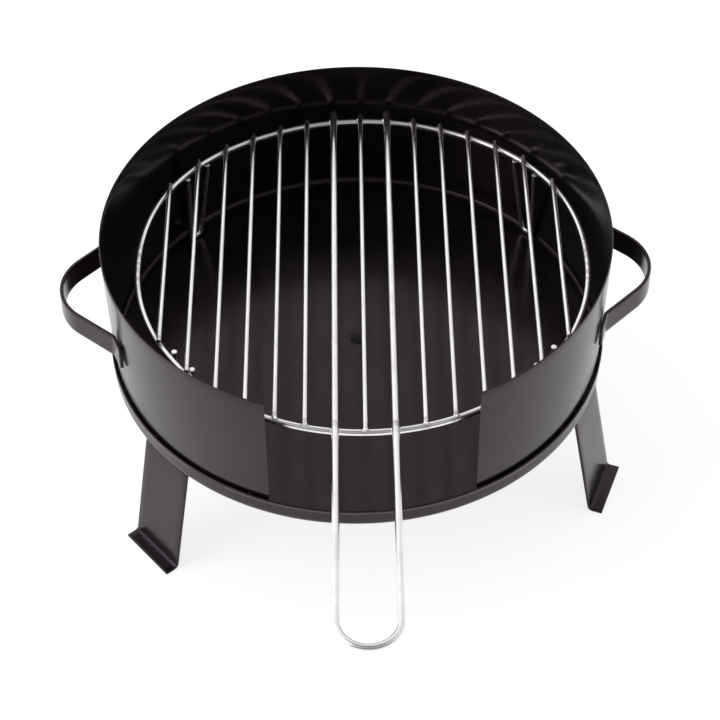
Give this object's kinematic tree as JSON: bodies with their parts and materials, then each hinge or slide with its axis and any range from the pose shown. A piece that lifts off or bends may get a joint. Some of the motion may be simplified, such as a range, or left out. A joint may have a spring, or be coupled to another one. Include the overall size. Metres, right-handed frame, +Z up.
{
  "type": "portable round fire pit with wire grate",
  "caption": "Low round tray on splayed strip legs with an open-fronted wind wall, carrying handles and a lift-out wire grate with a long loop handle.",
  "frame": {"origin": "centre of the bounding box on the ground plane, 67 mm in front of the pan's axis", "axes": "+Z up, -Y out of the front opening along the grate handle, +X to the right seen from the front"},
  "size_m": [0.4112, 0.5262, 0.1984],
  "materials": {
    "black_paint": "semi-gloss black enamel",
    "bright_wire": "bright plated wire"
  },
  "bodies": {
    "base": {"pan": "black_paint", "wind_wall": "black_paint", "wall_tack_1": "black_paint", "wall_tack_2": "black_paint", "wall_tack_3": "black_paint", "wall_tack_4": "black_paint", "leg_front_right": "black_paint", "leg_rear": "black_paint", "leg_front_left": "black_paint", "side_handle_right": "black_paint", "side_handle_left": "black_paint"},
    "grate": {"grate_ring": "bright_wire", "grate_bar_01": "bright_wire", "grate_bar_02": "bright_wire", "grate_bar_03": "bright_wire", "grate_bar_04": "bright_wire", "grate_bar_05": "bright_wire", "grate_bar_06": "bright_wire", "grate_bar_07": "bright_wire", "grate_bar_08": "bright_wire", "grate_bar_09": "bright_wire", "grate_bar_10": "bright_wire", "grate_bar_11": "bright_wire", "grate_bar_12": "bright_wire", "grate_bar_13": "bright_wire", "grate_handle": "bright_wire", "grate_foot_1": "bright_wire", "grate_foot_2": "bright_wire", "grate_foot_3": "bright_wire", "grate_foot_4": "bright_wire"}
  },
  "joints": [
    {"name": "grate_lift", "type": "slide", "parent": "base", "child": "grate", "axis": [0, 0, 1], "range_m": [0, 0.15]}
  ]
}
